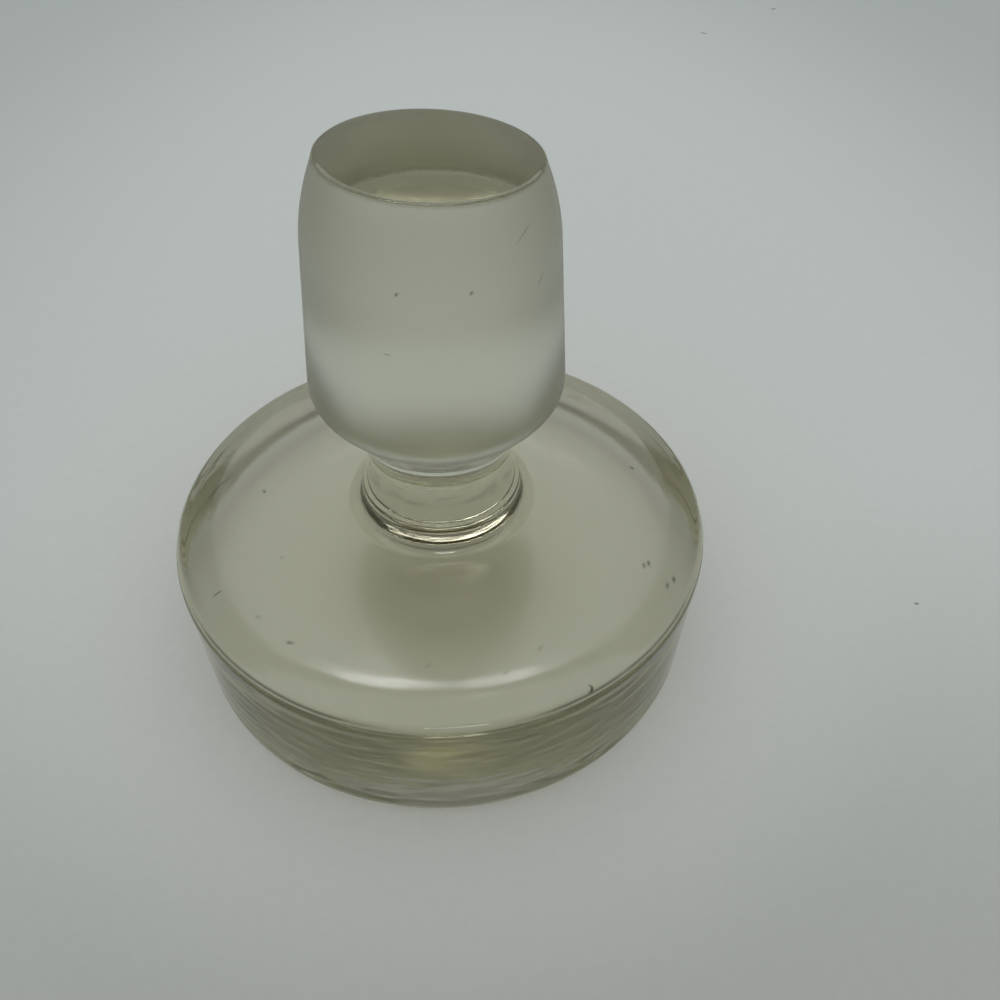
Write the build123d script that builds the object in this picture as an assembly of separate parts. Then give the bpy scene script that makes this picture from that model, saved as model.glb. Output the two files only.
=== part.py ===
"""Glass stopper, one solid piece: a thick disc head, a waisted neck and a tapered plug with a cut end.

It stands on the flat face of its head with the plug up. The axis is Z, the origin is the middle of that
flat face, and lengths are millimetres. Diameters and rises are those of the corners before they are rounded.
"""
import os
from math import cos, radians, sin, tan

from build123d import *

# Head: a thick disc, a little wider at the rim than at its flat face, with a low crown and a sloping border
foot_diameter = 67.0
foot_round = 2.8
rim_diameter = 68.2
rim_height = 19.5
rim_round = 1.4
border_width = 4.2
border_rise = 1.4
crown_rise = 1.5
crown_round = 16.0

# Collar: a low step round the foot of the neck
collar_diameter = 19.8
collar_draft = 0.3
collar_base_diameter = collar_diameter + 2 * collar_draft
collar_fillet = 2.6
collar_rise = 3.3
collar_round = 0.4
ledge_width = 0.65
ledge_rise = 0.16
ledge_round = 0.35

# Neck: clear glass that draws in to a waist and opens again under the plug
waist_diameter = 17.0
waist_rise = 10.5
waist_round = 8.0

# Plug: a ground cone whose end curves in to a face that was cut off a little out of square
shoulder_rise = 8.0
shoulder_round = 3.0
plug_diameter = 29.5
plug_length = 26.3
plug_half_angle = 4.6
tip_length = 5.0
tip_round = 24.0
end_diameter = 22.2
end_tilt = 3.0
end_tilt_heading = 39.0
end_allowance = 1.5


def profile() -> Face:
    """Half section of the stopper in the XZ plane, with the glass that the end cut takes off."""
    border_height = rim_height + border_rise
    crown_height = border_height + crown_rise
    collar_height = crown_height + collar_rise
    waist_height = crown_height + waist_rise
    plug_height = waist_height + shoulder_rise
    end_height = plug_height + plug_length
    tip_height = end_height - tip_length
    tip_radius = plug_diameter / 2 - (plug_length - tip_length) * tan(radians(plug_half_angle))
    tip_slope = (tip_radius - end_diameter / 2) / tip_length
    top_height = end_height + end_allowance
    top_radius = end_diameter / 2 - end_allowance * tip_slope

    corners = [
        (0, 0),
        (foot_diameter / 2, 0),
        (rim_diameter / 2, rim_height),
        (rim_diameter / 2 - border_width, border_height),
        (collar_base_diameter / 2, crown_height),
        (collar_diameter / 2, collar_height),
        (collar_diameter / 2 - ledge_width, collar_height + ledge_rise),
        (waist_diameter / 2, waist_height),
        (plug_diameter / 2, plug_height),
        (tip_radius, tip_height),
        (top_radius, top_height),
    ]
    rounds = [
        foot_round,
        rim_round,
        crown_round,
        collar_fillet,
        collar_round,
        ledge_round,
        waist_round,
        shoulder_round,
        tip_round,
    ]
    outline = Plane.XZ * FilletPolyline(*corners, radius=rounds)
    axis_line = Polyline(outline @ 1, (0, 0, top_height), (0, 0, 0))
    return make_face(outline.edges() + axis_line.edges())


def end_plane() -> Plane:
    """Plane of the plug's cut end, on the axis at the plug's full length."""
    head_and_neck = rim_height + border_rise + crown_rise + waist_rise + shoulder_rise
    lean = sin(radians(end_tilt))
    heading = radians(end_tilt_heading)
    normal = (lean * cos(heading), lean * sin(heading), cos(radians(end_tilt)))
    return Plane(origin=(0, 0, head_and_neck + plug_length), z_dir=normal)


def stopper() -> Part:
    """The turned form, cut off at its end."""
    turned = revolve(profile(), axis=Axis.Z)
    return split(turned, bisect_by=end_plane(), keep=Keep.BOTTOM)


os.makedirs("parts", exist_ok=True)
export_step(stopper(), "parts/stopper.step")
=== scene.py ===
"""Looks of the glass stopper: a turned mesh of pale olive glass with its wear and some painted shade, on a
sheet of pale paper with painted light and shade.

Lengths are millimetres, turned to metres where a mesh, shader or camera is made. Lamps are set in metres.
"""

from collections import namedtuple
from math import atan2, ceil, cos, degrees, hypot, pi, radians, sin, tan

import bpy
from mathutils import Matrix, Vector, noise


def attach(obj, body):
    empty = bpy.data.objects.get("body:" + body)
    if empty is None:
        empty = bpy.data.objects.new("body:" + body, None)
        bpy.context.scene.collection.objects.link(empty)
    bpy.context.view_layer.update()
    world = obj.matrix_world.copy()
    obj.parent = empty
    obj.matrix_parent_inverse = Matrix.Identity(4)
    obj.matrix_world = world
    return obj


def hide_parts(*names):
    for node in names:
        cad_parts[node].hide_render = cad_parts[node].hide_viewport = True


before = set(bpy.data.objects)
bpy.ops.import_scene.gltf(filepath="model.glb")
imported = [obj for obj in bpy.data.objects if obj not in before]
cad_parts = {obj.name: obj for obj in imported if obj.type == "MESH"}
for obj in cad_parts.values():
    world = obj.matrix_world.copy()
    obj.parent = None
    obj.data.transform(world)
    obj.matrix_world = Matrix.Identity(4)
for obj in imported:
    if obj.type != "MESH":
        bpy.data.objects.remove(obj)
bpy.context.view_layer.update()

MM = 0.001

# Head: a thick disc, a little wider at the rim than at its flat face, with a low crown and a sloping border
FOOT_DIAMETER = 67.0
FOOT_ROUND = 2.8
RIM_DIAMETER = 68.2
RIM_HEIGHT = 19.5
RIM_ROUND = 1.4
BORDER_WIDTH = 4.2
BORDER_RISE = 1.4
CROWN_RISE = 1.5
CROWN_ROUND = 16.0

# Collar: a low step round the foot of the neck
COLLAR_DIAMETER = 19.8
COLLAR_DRAFT = 0.3
COLLAR_BASE_DIAMETER = COLLAR_DIAMETER + 2 * COLLAR_DRAFT
COLLAR_FILLET = 2.6
COLLAR_RISE = 3.3
COLLAR_ROUND = 0.4
LEDGE_WIDTH = 0.65
LEDGE_RISE = 0.16
LEDGE_ROUND = 0.35

# Neck: clear glass that draws in to a waist and opens again under the plug
WAIST_DIAMETER = 17.0
WAIST_RISE = 10.5
WAIST_ROUND = 8.0

# Plug: a ground cone whose end curves in to a face that was cut off a little out of square
SHOULDER_RISE = 8.0
SHOULDER_ROUND = 3.0
PLUG_DIAMETER = 29.5
PLUG_LENGTH = 26.3
PLUG_HALF_ANGLE = 4.6
TIP_LENGTH = 5.0
TIP_ROUND = 24.0
END_DIAMETER = 22.2
END_TILT = 3.0
END_TILT_HEADING = 39.0
END_ALLOWANCE = 1.5

BORDER_HEIGHT = RIM_HEIGHT + BORDER_RISE
CROWN_HEIGHT = BORDER_HEIGHT + CROWN_RISE
COLLAR_HEIGHT = CROWN_HEIGHT + COLLAR_RISE
WAIST_HEIGHT = CROWN_HEIGHT + WAIST_RISE
PLUG_HEIGHT = WAIST_HEIGHT + SHOULDER_RISE
END_HEIGHT = PLUG_HEIGHT + PLUG_LENGTH
TIP_HEIGHT = END_HEIGHT - TIP_LENGTH

# Mesh: steps round the axis, spacing along the outline, least steps in a round, rings on each flat face and
# broken edge of the cut end
SEGMENTS = 288
SPACING = 0.4
ARC_STEPS = 6
FLAT_RINGS = 24
END_BREAK = 0.15

# Unevenness of the old glass: depth and closeness of the creases round the wall and of the waves in the crown
WALL_WAVE = 0.2
WALL_WAVES_AROUND = 4.0
WALL_WAVES_UP = 0.6
WALL_PATCHES = 1.3
CROWN_WAVE = 0.05
CROWN_WAVES = 0.12
WAVE_ROUGHNESS = 1.0
WAVE_STEP = 2.0
WAVE_OCTAVES = 3

# Surface finish: roughness of each part of the glass, where the foot's finish ends, how far the grinding runs
# below the plug and how far the polish of the neck runs out on the crown, with smudges and grinding lines
POLISHED_ROUGHNESS = 0.015
FOOT_ROUGHNESS = 0.06
CROWN_ROUGHNESS = 0.15
GROUND_ROUGHNESS = 0.4
END_ROUGHNESS = 0.03
FOOT_FINISH_HEIGHT = 0.7
GROUND_MARGIN = 2.0
COLLAR_MARGIN = 2.5
SMUDGES = 0.25
SMUDGE_ROUGHNESS = 0.04
GRIND_LINES = 3.0
GRIND_ROUGHNESS = 0.05

# Glass: refraction, tint with its density for each metre, and the colour of its dirt and of the painted shade
# on it
GLASS_IOR = 1.52
TINT = (0.80, 0.79, 0.64, 1)
TINT_DENSITY = 36.0
CLEAR = (1, 1, 1, 1)
# Dark colour for the dirt on the glass and the paper, and for the painted shade lines and streaks on the
# glass
DIRT_AND_PAINTED_SHADE = (0.014, 0.012, 0.008, 1)

# Specks of dirt, dark ones on the head and the plug and faint ones on the crown
SPECKS = [
    (-18.0, -22.1, 21.0),
    (24.2, -13.3, 21.0),
    (24.8, -13.2, 21.0),
    (25.5, 3.9, 21.2),
    (26.5, -15.9, 20.5),
    (27.6, -15.2, 20.4),
    (-23.0, 2.1, 21.4),
    (-3.4, -12.8, 59.7),
    (3.5, -12.8, 59.7),
]
FAINT_SPECKS = [
    (-21.8, -17.9, 21.0),
    (-19.7, -9.6, 21.5),
    (-2.5, -26.1, 21.2),
    (10.2, -24.9, 21.1),
    (5.9, -27.5, 21.0),
]
SPECK_SHADE = 1.0
FAINT_SHADE = 0.35

# Painted shade, dark lines along the rim and by the foot in place of the dark refraction there: height, half
# width, first and last heading in degrees, and shade
Line = namedtuple("Line", "height reach start stop shade")
PAINTED_SHADE_LINES = [
    Line(19.55, 0.14, -158, -98, 0.95),
    Line(19.05, 0.14, -134, -102, 0.6),
    Line(19.55, 0.14, -82, -22, 0.95),
    Line(19.05, 0.14, -80, -52, 0.7),
    Line(2.2, 0.25, -142, -104, 1.0),
    Line(1.5, 0.25, -76, -36, 1.0),
    Line(2.9, 0.25, -68, -44, 0.8),
]
LINE_FADE = 14.0
LINE_BREAKS = 0.5
LINE_LEAST = 0.65

# Painted shade in fine streaks round the wall, in place of the refraction of its waves: how close they lie,
# the noise at which they start and are full, and their shade
STREAKS_AROUND = 7.0
STREAKS_UP = 0.9
STREAK_FROM = 0.6
STREAK_TO = 0.68
PAINTED_STREAK_SHADE = 0.3

# Scratches, scuffs and a chip: middle, half sizes, and turn in degrees about Y and then Z. A mark is full
# inside its core and fades out to its edge, both as shares of the half sizes. The chip is a hook, a spot
# less a bite.
Mark = namedtuple("Mark", "place size turn")
MARK_EDGE = 1.0
MARK_CORE = 0.5
SCRATCHES = [
    Mark((-27.0, -14.2, 20.7), (0.9, 0.16, 0.5), (0, 35)),
    Mark((-4.7, -12.9, 53.4), (0.5, 0.5, 0.07), (0, -20)),
    Mark((8.5, -9.1, 63.7), (2.0, 0.5, 0.06), (-28, 43)),
    Mark((10.3, -8.5, 58.5), (1.0, 0.4, 0.08), (-45, 51)),
    Mark((-29.5, 3.3, 20.85), (2.4, 0.3, 0.6), (0, 62)),
    Mark((-28.1, 5.2, 20.95), (1.9, 0.25, 0.6), (0, 52)),
]
CHIP = Mark((15.2, -29.5, 19.75), (0.7, 0.7, 0.7), (0, 0))
CHIP_BITE = Mark((14.85, -29.45, 19.8), (0.66, 0.6, 0.7), (0, 0))
SCRATCH_SHADE = 0.7
CHIP_SHADE = 1.0

# Paper: a sheet just below the foot, with painted shade greyer towards the front and far off, painted light
# paler near the stopper and palest under it, and two soft painted shadows of the stopper under it, with a
# fine grain and a few fibres
PAPER_SIZE = 6000.0
PAPER_DROP = 0.2
PAPER_ROUGHNESS = 0.9
PAPER_SPECULAR = 0.1
PAPER = (0.465, 0.485, 0.473, 1)
# Painted shade: the paper greyer towards the front
PAPER_PAINTED_FRONT_SHADE = (0.33, 0.335, 0.32, 1)
# Painted shade: the paper darker far off
PAPER_PAINTED_FAR_SHADE = (0.36, 0.38, 0.375, 1)
# Painted light: the paper paler near the stopper
PAPER_PAINTED_NEAR_LIGHT = (0.48, 0.485, 0.47, 1)
NEAR_PLACE = (0.0, 12.0, 0.0)
NEAR_INNER = 38.0
NEAR_OUTER = 75.0
# Painted light: the paper palest under the stopper, in place of light that comes through the glass
PAPER_PAINTED_UNDER_LIGHT = (0.63, 0.64, 0.63, 1)
UNDER_INNER = 29.5
UNDER_OUTER = 32.5
# Painted shadows of the stopper: two soft darker patches under it
PAPER_PAINTED_SHADOW = (0.46, 0.46, 0.42, 1)
PAINTED_SHADOW_FRONT = Mark((0.0, -5.0, 0.0), (18.0, 16.0, 16.0), (0, 0))
PAINTED_SHADOW_BACK = Mark((0.0, 25.0, 0.0), (14.0, 12.0, 12.0), (0, 0))
SHADED_EDGE = 1.0
SHADED_MIDDLE = 0.1
FRONT_FROM = -75.0
FRONT_TO = 30.0
FAR_PLACE = (20.0, 60.0, 0.0)
FAR_SIZE = (120.0, 230.0, 100.0)
FAR_FROM = 0.5
FAR_TO = 1.6
GRAIN_SCALE = 700.0
GRAIN_SHADE = 0.06
FIBRES = [
    Mark((92.0, 232.0, 0.0), (1.6, 0.5, 1.0), (0, -30)),
    Mark((122.0, 255.0, 0.0), (1.5, 0.6, 1.0), (0, 20)),
    Mark((69.0, -5.0, 0.0), (0.5, 0.25, 1.0), (0, 0)),
]
FIBRE_SHADE = 0.6

# Camera of the photograph: focal length in pixels of its frame, place, and view with its angles in radians
FRAME_PIXELS = 1000.0
FOCAL_PIXELS = 925.0
SENSOR_WIDTH = 36.0
CAMERA_BACK = 85.41
CAMERA_HEIGHT = 106.29
CAMERA_PITCH = 0.7883
CAMERA_ROLL = -0.0209
CAMERA_YAW = 0.088
CLIP_START = 5.0

# Soft light on the paper: dimmer from low down, brighter from overhead. FROM and TO are heights of a unit
# direction.
LIGHT_COLOUR = (0.97, 1.0, 0.99, 1)
LIGHT_FROM = 0.4
LIGHT_TO = 0.75
LIGHT_LOW = 0.78
LIGHT_HIGH = 1.2

# Room that shows in the glass: dark in front, paler behind and at the sides, with a dim ceiling. FROM and TO
# are components of a unit direction.
ROOM_FRONT = 0.05
ROOM_BACK = 0.21
ROOM_SIDE = 0.18
BACK_FROM = -0.6
BACK_TO = 0.2
SIDE_FROM = 0.5
SIDE_TO = 0.9
CEILING_FROM = 0.5
CEILING_TO = 0.8
CEILING_SHARE = 0.2

# Backdrop past the edge of the paper, about as pale as the far paper
BACKDROP = 0.4

# Lamps that show as highlights: middle, width and depth in metres, radiance, and whether light that has come
# through the glass shows them too
Lamp = namedtuple("Lamp", "name place size radiance through")
LAMPS = [
    Lamp("ceiling_lamp", (-0.165, 0.34, 1.0), (0.2, 0.06), 13.0, True),
    Lamp("dimmer_lamp", (0.07, 0.34, 1.0), (0.27, 0.06), 9.0, True),
    Lamp("bulb", (-0.06, 0.34, 0.99), (0.02, 0.02), 60.0, True),
    Lamp("overhead_lamp", (0.09, 0.1, 1.0), (0.02, 0.05), 12.0, True),
    Lamp("front_lamp", (0.02, -0.5, 1.0), (0.3, 0.05), 12.0, False),
    Lamp("overhead_glow", (0.0, -0.05, 1.1), (2.4, 0.4), 0.9, False),
    Lamp("wall_glow", (0.0, 0.64, 0.79), (1.0, 0.85), 0.75, False),
    Lamp("back_glow", (0.0, 0.65, 0.8), (1.0, 0.85), 0.14, True),
]

# Turns that light may take inside the glass
BOUNCES = 20


def outline_corners():
    """Corners of the half section from the foot to above the cut end, and the round of each inner corner."""
    tip_radius = PLUG_DIAMETER / 2 - (PLUG_LENGTH - TIP_LENGTH) * tan(radians(PLUG_HALF_ANGLE))
    tip_slope = (tip_radius - END_DIAMETER / 2) / TIP_LENGTH
    corners = [
        (0, 0),
        (FOOT_DIAMETER / 2, 0),
        (RIM_DIAMETER / 2, RIM_HEIGHT),
        (RIM_DIAMETER / 2 - BORDER_WIDTH, BORDER_HEIGHT),
        (COLLAR_BASE_DIAMETER / 2, CROWN_HEIGHT),
        (COLLAR_DIAMETER / 2, COLLAR_HEIGHT),
        (COLLAR_DIAMETER / 2 - LEDGE_WIDTH, COLLAR_HEIGHT + LEDGE_RISE),
        (WAIST_DIAMETER / 2, WAIST_HEIGHT),
        (PLUG_DIAMETER / 2, PLUG_HEIGHT),
        (tip_radius, TIP_HEIGHT),
        (END_DIAMETER / 2 - END_ALLOWANCE * tip_slope, END_HEIGHT + END_ALLOWANCE),
    ]
    rounds = [
        FOOT_ROUND,
        RIM_ROUND,
        CROWN_ROUND,
        COLLAR_FILLET,
        COLLAR_ROUND,
        LEDGE_ROUND,
        WAIST_ROUND,
        SHOULDER_ROUND,
        TIP_ROUND,
    ]
    return [Vector(corner) for corner in corners], rounds


def straight(start, end):
    """Evenly spaced points from start up to, and without, end."""
    count = max(1, ceil((end - start).length / SPACING))
    return [start.lerp(end, i / count) for i in range(count)]


def rounded_outline():
    """Points along the half section, with a tangent arc at each inner corner."""
    corners, rounds = outline_corners()
    points = []
    last = corners[0]
    for before, corner, after, radius in zip(corners, corners[1:], corners[2:], rounds):
        way_in = (corner - before).normalized()
        way_out = (after - corner).normalized()
        turn = atan2(way_in.cross(way_out), way_in.dot(way_out))
        reach = radius * tan(abs(turn) / 2)
        start = corner - way_in * reach
        side = Vector((-way_in.y, way_in.x)) * (1 if turn > 0 else -1)
        centre = start + side * radius
        points += straight(last, start)
        count = max(ARC_STEPS, ceil(radius * abs(turn) / SPACING))
        for i in range(count):
            spin = Matrix.Rotation(turn * i / count, 2)
            points.append(centre + spin @ (start - centre))
        last = corner + way_out * reach
    return points + straight(last, corners[-1]) + [corners[-1]]


def end_height_at(radius, angle):
    """Height of the oblique cut at a radius and an angle round the axis."""
    return END_HEIGHT - tan(radians(END_TILT)) * radius * cos(angle - radians(END_TILT_HEADING))


def meet_end(outline, angle):
    """Point where the outline, at an angle round the axis, meets the oblique cut."""
    for low, high in zip(outline, outline[1:]):
        over_low = low.y - end_height_at(low.x, angle)
        over_high = high.y - end_height_at(high.x, angle)
        if over_low <= 0 < over_high:
            return low.lerp(high, over_low / (over_low - over_high))
    raise ValueError("the outline does not reach the cut end")


def tip_radius_at(outline, height):
    """Radius of the outline's tip at a height."""
    for low, high in zip(outline, outline[1:]):
        if low.y > PLUG_HEIGHT and low.y <= height <= high.y:
            return low.lerp(high, (height - low.y) / (high.y - low.y)).x
    raise ValueError("the height is not on the tip")


def waves(place):
    """Noise between zero and one."""
    return min(1, max(0, 0.5 + noise.fractal(place, WAVE_ROUGHNESS, WAVE_STEP, WAVE_OCTAVES) / 2))


def finish_at(place, on_end):
    """Roughness of the glass at a place on its surface: smudged, and lined where it was ground."""
    radius = hypot(place.x, place.y)
    smudge = SMUDGE_ROUGHNESS * waves(place * SMUDGES)
    if on_end:
        return END_ROUGHNESS + smudge
    if place.z < FOOT_FINISH_HEIGHT:
        return FOOT_ROUGHNESS + smudge
    if place.z > PLUG_HEIGHT - GROUND_MARGIN:
        return GROUND_ROUGHNESS + GRIND_ROUGHNESS * waves(Vector((0, 0, place.z * GRIND_LINES)))
    if place.z > RIM_HEIGHT and radius > COLLAR_BASE_DIAMETER / 2 + COLLAR_MARGIN:
        share = min(1, (place.z - RIM_HEIGHT) / BORDER_RISE)
        return POLISHED_ROUGHNESS + (CROWN_ROUGHNESS + smudge - POLISHED_ROUGHNESS) * share
    return POLISHED_ROUGHNESS


def painted_line_at(point):
    """Share of painted shade in the dark lines of the rim and the foot."""
    heading = degrees(atan2(point.y, point.x))
    shares = [0]
    for line in PAINTED_SHADE_LINES:
        if abs(point.z - line.height) < line.reach:
            within = min(heading - line.start, line.stop - heading) / LINE_FADE
            shares.append(line.shade * min(1, within))
    return max(shares) * min(1, LINE_LEAST + waves(point * LINE_BREAKS))


def painted_streak_at(point):
    """Share of painted shade in the fine streaks of the wall."""
    if not FOOT_ROUND < point.z < RIM_HEIGHT - RIM_ROUND:
        return 0
    around = Vector((point.x, point.y, 0)).normalized()
    height = waves(around * STREAKS_AROUND + Vector((0, 0, point.z * STREAKS_UP)))
    return PAINTED_STREAK_SHADE * min(1, max(0, (height - STREAK_FROM) / (STREAK_TO - STREAK_FROM)))


def dirt_and_painted_shade_on(points):
    """Share of dirt and painted shade at each point: painted shade lines and streaks, and specks of dirt at
    the nearest points.
    """
    dirt_and_painted_shade = [max(painted_line_at(point), painted_streak_at(point)) for point in points]
    for specks, shade in ((SPECKS, SPECK_SHADE), (FAINT_SPECKS, FAINT_SHADE)):
        for speck in specks:
            nearest = min(range(len(points)), key=lambda i: (points[i] - Vector(speck)).length_squared)
            dirt_and_painted_shade[nearest] = shade
    return dirt_and_painted_shade


def uneven(point, angle):
    """A point of the outline turned to an angle, sunk a little where the glass is wavy."""
    radius, height = point
    around = Vector((cos(angle), sin(angle), 0))
    if FOOT_ROUND < height < RIM_HEIGHT - RIM_ROUND:
        along = around * WALL_WAVES_AROUND + Vector((0, 0, height * WALL_WAVES_UP))
        depth = WALL_WAVE * waves(around * WALL_PATCHES)
        fade = min(1, height - FOOT_ROUND, RIM_HEIGHT - RIM_ROUND - height)
        radius -= depth * fade * (1 - abs(2 * waves(along) - 1))
    elif BORDER_HEIGHT < height < CROWN_HEIGHT:
        height -= CROWN_WAVE * waves(around * radius * CROWN_WAVES)
    return Vector((radius * cos(angle), radius * sin(angle), height))


def body_rings(outline, angles):
    """Rings from the flat foot up to the tip."""
    foot_edge = next(i for i, point in enumerate(outline) if point.y > 0) - 1
    flat = [outline[foot_edge] * (i / FLAT_RINGS) for i in range(1, FLAT_RINGS)]
    body = [point for point in outline[foot_edge:] if point.y < TIP_HEIGHT - TIP_LENGTH]
    return [[uneven(point, angle) for angle in angles] for point in flat + body]


def tip_rings(outline, angles, ends):
    """Rings that lean over from level to the oblique cut."""
    tip = [point.y for point in outline if point.y >= TIP_HEIGHT - TIP_LENGTH]
    rings = []
    for i in range(len(tip)):
        ring = []
        for end, angle in zip(ends, angles):
            height = tip[0] + (end.y - END_BREAK - tip[0]) * i / (len(tip) - 1)
            radius = tip_radius_at(outline, height)
            ring.append(Vector((radius * cos(angle), radius * sin(angle), height)))
        rings.append(ring)
    return rings


def end_rings(angles, ends):
    """Rings that run in over the cut face."""
    rings = []
    for i in range(FLAT_RINGS):
        ring = []
        for end, angle in zip(ends, angles):
            radius = (end.x - END_BREAK) * (1 - i / FLAT_RINGS)
            ring.append(Vector((radius * cos(angle), radius * sin(angle), end_height_at(radius, angle))))
        rings.append(ring)
    return rings


def turned_faces(count):
    """Faces between rings that run from a first middle point to a last one, out of a count of points."""
    faces = []
    for i in range(SEGMENTS):
        j = (i + 1) % SEGMENTS
        faces.append((0, 1 + j, 1 + i))
        for low in range(1, count - 1 - SEGMENTS, SEGMENTS):
            high = low + SEGMENTS
            faces.append((low + i, low + j, high + j, high + i))
        top = count - 1 - SEGMENTS
        faces.append((top + i, top + j, count - 1))
    return faces


def stopper_mesh():
    """The turned glass, closed at the foot and at the cut end, with roughness, dirt and painted shade at each
    point.
    """
    outline = rounded_outline()
    angles = [2 * pi * i / SEGMENTS for i in range(SEGMENTS)]
    ends = [meet_end(outline, angle) for angle in angles]
    sides = body_rings(outline, angles) + tip_rings(outline, angles, ends)
    side_points = [Vector()] + [point for ring in sides for point in ring]
    end_points = [point for ring in end_rings(angles, ends) for point in ring] + [Vector((0, 0, END_HEIGHT))]
    points = side_points + end_points
    finish = [finish_at(point, False) for point in side_points]
    finish += [finish_at(point, True) for point in end_points]

    mesh = bpy.data.meshes.new("stopper_glass")
    mesh.from_pydata([point * MM for point in points], [], turned_faces(len(points)))
    mesh.shade_smooth()
    mesh.attributes.new("roughness", "FLOAT", "POINT").data.foreach_set("value", finish)
    mesh.attributes.new("dirt_and_painted_shade", "FLOAT", "POINT").data.foreach_set("value", dirt_and_painted_shade_on(points))
    mesh.validate()
    return mesh


def put(tree, socket, value):
    """Links a socket to an output, or sets it to a number."""
    if isinstance(value, bpy.types.NodeSocket):
        tree.links.new(value, socket)
    else:
        socket.default_value = value


def calc(tree, operation, first, second=0.0):
    """Result of a Math node."""
    made = tree.nodes.new("ShaderNodeMath")
    made.operation = operation
    put(tree, made.inputs[0], first)
    put(tree, made.inputs[1], second)
    return made.outputs["Value"]


def ramp(tree, value, start, stop, low=0.0, high=1.0):
    """A smooth change from low to high while the value goes from start to stop."""
    made = tree.nodes.new("ShaderNodeMapRange")
    made.interpolation_type = "SMOOTHSTEP"
    put(tree, made.inputs["Value"], value)
    put(tree, made.inputs["From Min"], start)
    put(tree, made.inputs["From Max"], stop)
    put(tree, made.inputs["To Min"], low)
    put(tree, made.inputs["To Max"], high)
    return made.outputs["Result"]


def blend(tree, share, first, second, kind="RGBA"):
    """A colour, or a value of another kind, that goes from the first to the second with the share."""
    made = tree.nodes.new("ShaderNodeMix")
    made.data_type = kind
    put(tree, made.inputs["Factor"], share)
    put(tree, made.inputs["A"], first)
    put(tree, made.inputs["B"], second)
    return made.outputs["Result"]


def object_place(tree):
    """Place of the shaded point on its object, in metres."""
    return tree.nodes.new("ShaderNodeTexCoord").outputs["Object"]


def component(tree, vector, axis):
    """One component of a vector."""
    made = tree.nodes.new("ShaderNodeSeparateXYZ")
    put(tree, made.inputs["Vector"], vector)
    return made.outputs[axis]


def distance(tree, place, centre=(0, 0, 0), size=(1, 1, 1), turn=(0, 0)):
    """Distance from a centre, in millimetres or in half sizes of a turned ellipsoid."""
    mapping = tree.nodes.new("ShaderNodeMapping")
    mapping.vector_type = "TEXTURE"
    put(tree, mapping.inputs["Vector"], place)
    mapping.inputs["Location"].default_value = Vector(centre) * MM
    mapping.inputs["Rotation"].default_value = (0, radians(turn[0]), radians(turn[1]))
    mapping.inputs["Scale"].default_value = Vector(size) * MM
    length = tree.nodes.new("ShaderNodeVectorMath")
    length.operation = "LENGTH"
    put(tree, length.inputs[0], mapping.outputs["Vector"])
    return length.outputs["Value"]


def spot(tree, place, mark):
    """One inside a mark, fading to zero at its edge."""
    return ramp(tree, distance(tree, place, *mark), MARK_EDGE, MARK_CORE)


def any_of(tree, place, marks):
    """One inside any of several marks."""
    share = spot(tree, place, marks[0])
    for mark in marks[1:]:
        share = calc(tree, "MAXIMUM", share, spot(tree, place, mark))
    return share


def new_material(name):
    """A material, its node tree and its shader."""
    material = bpy.data.materials.new(name)
    material.use_nodes = True
    return material, material.node_tree, material.node_tree.nodes["Principled BSDF"]


def point_value(tree, name):
    """A value stored at the points of the mesh."""
    made = tree.nodes.new("ShaderNodeAttribute")
    made.attribute_name = name
    return made.outputs["Fac"]


def glass_dirt_and_painted_shade(tree):
    """Share of dirt and painted shade on the glass: what is stored at its points, with scratches and a chip.
    """
    place = object_place(tree)
    scratches = calc(tree, "MULTIPLY", any_of(tree, place, SCRATCHES), SCRATCH_SHADE)
    hook = calc(tree, "SUBTRACT", spot(tree, place, CHIP), spot(tree, place, CHIP_BITE))
    fine = calc(tree, "MAXIMUM", scratches, calc(tree, "MULTIPLY", hook, CHIP_SHADE))
    return calc(tree, "MAXIMUM", point_value(tree, "dirt_and_painted_shade"), fine)


def glass_material():
    """Pale olive glass: clear where it was moulded, satin where the plug was ground, smudged and worn, with
    painted shade.
    """
    material, tree, shader = new_material("olive_glass")
    shader.inputs["Transmission Weight"].default_value = 1.0
    shader.inputs["IOR"].default_value = GLASS_IOR
    # Base colour darkened by dirt and by painted shade
    put(tree, shader.inputs["Base Color"], blend(tree, glass_dirt_and_painted_shade(tree), CLEAR, DIRT_AND_PAINTED_SHADE))
    put(tree, shader.inputs["Roughness"], point_value(tree, "roughness"))
    volume = tree.nodes.new("ShaderNodeVolumeAbsorption")
    volume.inputs["Color"].default_value = TINT
    volume.inputs["Density"].default_value = TINT_DENSITY
    put(tree, tree.nodes["Material Output"].inputs["Volume"], volume.outputs["Volume"])
    return material


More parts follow.
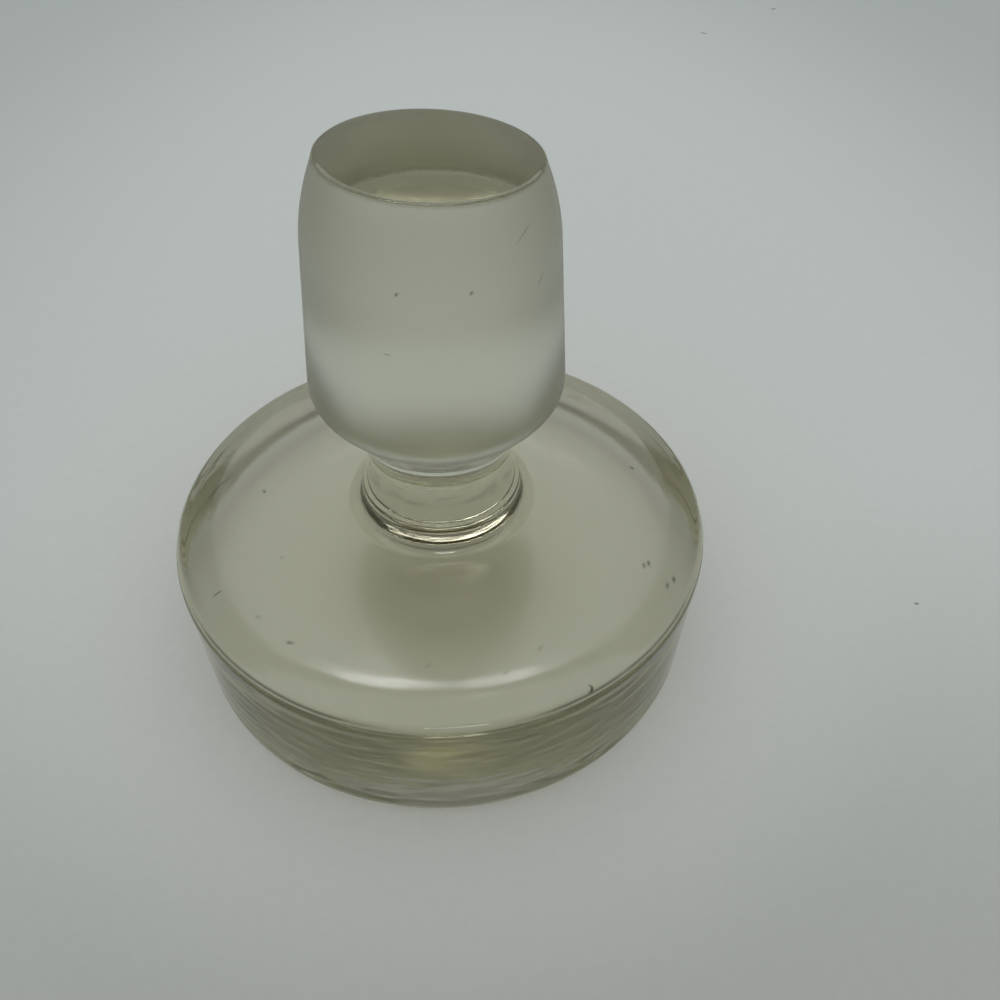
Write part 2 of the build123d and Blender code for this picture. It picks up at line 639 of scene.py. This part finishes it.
def paper_material():
    """Matt pale paper with painted shade, painted light and painted shadows from place to place, and its
    grain and fibres.
    """
    material, tree, shader = new_material("pale_paper")
    place = object_place(tree)
    shader.inputs["Roughness"].default_value = PAPER_ROUGHNESS
    shader.inputs["Specular IOR Level"].default_value = PAPER_SPECULAR
    # Painted shade towards the front
    forward = ramp(tree, component(tree, place, "Y"), FRONT_FROM * MM, FRONT_TO * MM)
    colour = blend(tree, forward, PAPER_PAINTED_FRONT_SHADE, PAPER)
    # Painted shade far off
    far = ramp(tree, distance(tree, place, FAR_PLACE, FAR_SIZE), FAR_FROM, FAR_TO)
    colour = blend(tree, far, colour, PAPER_PAINTED_FAR_SHADE)
    # Painted light near the stopper
    near = ramp(tree, distance(tree, place, NEAR_PLACE), NEAR_OUTER, NEAR_INNER)
    colour = blend(tree, near, colour, PAPER_PAINTED_NEAR_LIGHT)
    # Painted light under the stopper
    under = ramp(tree, distance(tree, place), UNDER_OUTER, UNDER_INNER)
    colour = blend(tree, under, colour, PAPER_PAINTED_UNDER_LIGHT)
    # Painted shadows of the stopper under it
    for patch in (PAINTED_SHADOW_FRONT, PAINTED_SHADOW_BACK):
        painted_shadow = ramp(tree, distance(tree, place, *patch), SHADED_EDGE, SHADED_MIDDLE)
        colour = blend(tree, painted_shadow, colour, PAPER_PAINTED_SHADOW)
    fibres = calc(tree, "MULTIPLY", any_of(tree, place, FIBRES), FIBRE_SHADE)
    grain = tree.nodes.new("ShaderNodeTexNoise")
    put(tree, grain.inputs["Vector"], place)
    grain.inputs["Scale"].default_value = GRAIN_SCALE
    grey = calc(tree, "MULTIPLY", grain.outputs["Fac"], GRAIN_SHADE)
    put(tree, shader.inputs["Base Color"], blend(tree, calc(tree, "MAXIMUM", fibres, grey), colour, DIRT_AND_PAINTED_SHADE))
    return material


def link_object(name, data):
    """A new object in the scene."""
    made = bpy.data.objects.new(name, data)
    bpy.context.scene.collection.objects.link(made)
    return made


def glass_stopper():
    """The stopper, in place of its solid."""
    stopper = link_object("stopper_glass", stopper_mesh())
    stopper.data.materials.append(glass_material())
    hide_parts("stopper")
    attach(stopper, "root")


def paper_floor():
    """A wide sheet of paper just under the stopper."""
    half = PAPER_SIZE / 2 * MM
    mesh = bpy.data.meshes.new("paper")
    corners = [(-half, -half, 0), (half, -half, 0), (half, half, 0), (-half, half, 0)]
    mesh.from_pydata(corners, [], [(0, 1, 2, 3)])
    paper = link_object("paper", mesh)
    paper.data.materials.append(paper_material())
    paper.location.z = -PAPER_DROP * MM


def photo_camera():
    """The camera of the photograph."""
    level = cos(CAMERA_PITCH)
    forward = Vector((sin(CAMERA_YAW) * level, cos(CAMERA_YAW) * level, -sin(CAMERA_PITCH)))
    level_right = Vector((cos(CAMERA_YAW), -sin(CAMERA_YAW), 0))
    level_down = forward.cross(level_right)
    right = level_right * cos(CAMERA_ROLL) + level_down * sin(CAMERA_ROLL)
    down = level_down * cos(CAMERA_ROLL) - level_right * sin(CAMERA_ROLL)
    data = bpy.data.cameras.new("camera")
    data.sensor_width = SENSOR_WIDTH
    data.lens = FOCAL_PIXELS / FRAME_PIXELS * SENSOR_WIDTH
    data.clip_start = CLIP_START * MM
    camera = link_object("camera", data)
    axes = Matrix((right, -down, -forward)).transposed().to_4x4()
    camera.matrix_world = Matrix.Translation(Vector((0, -CAMERA_BACK, CAMERA_HEIGHT)) * MM) @ axes
    bpy.context.scene.camera = camera


def highlight_lamp(lamp):
    """A lamp that faces the stopper and shows in the glass, without lighting the matt paper."""
    data = bpy.data.lights.new(lamp.name, "AREA")
    data.shape = "RECTANGLE"
    data.size, data.size_y = lamp.size
    data.energy = lamp.radiance * pi * data.size * data.size_y
    made = link_object(lamp.name, data)
    made.location = lamp.place
    made.rotation_euler = (-Vector(lamp.place)).to_track_quat("-Z", "Y").to_euler()
    made.visible_diffuse = False
    made.visible_transmission = lamp.through


def room_light():
    """Soft light from above on the paper, the dim room that the glass shows, and the pale backdrop."""
    world = bpy.data.worlds.new("room")
    bpy.context.scene.world = world
    world.use_nodes = True
    tree = world.node_tree
    way = tree.nodes.new("ShaderNodeTexCoord").outputs["Generated"]

    light = ramp(tree, component(tree, way, "Z"), LIGHT_FROM, LIGHT_TO, LIGHT_LOW, LIGHT_HIGH)

    walls = ramp(tree, component(tree, way, "Y"), BACK_FROM, BACK_TO, ROOM_FRONT, ROOM_BACK)
    aside = calc(tree, "ABSOLUTE", component(tree, way, "X"))
    sides = ramp(tree, aside, SIDE_FROM, SIDE_TO, 0.0, ROOM_SIDE)
    ceiling = ramp(tree, component(tree, way, "Z"), CEILING_FROM, CEILING_TO, 1.0, CEILING_SHARE)
    seen = calc(tree, "MULTIPLY", calc(tree, "ADD", walls, sides), ceiling)

    path = tree.nodes.new("ShaderNodeLightPath")
    from_paper = calc(tree, "MINIMUM", path.outputs["Diffuse Depth"], 1.0)
    either = blend(tree, from_paper, seen, light, "FLOAT")
    shown = blend(tree, path.outputs["Is Camera Ray"], either, BACKDROP, "FLOAT")
    background = tree.nodes["Background"]
    background.inputs["Color"].default_value = LIGHT_COLOUR
    put(tree, background.inputs["Strength"], shown)


def picture_settings():
    """Plain colours, and enough bounces for light that turns many times inside the glass."""
    scene = bpy.context.scene
    scene.view_settings.view_transform = "Standard"
    scene.cycles.max_bounces = BOUNCES
    scene.cycles.glossy_bounces = BOUNCES
    scene.cycles.transmission_bounces = BOUNCES


glass_stopper()
paper_floor()
photo_camera()
room_light()
for lamp in LAMPS:
    highlight_lamp(lamp)
picture_settings()
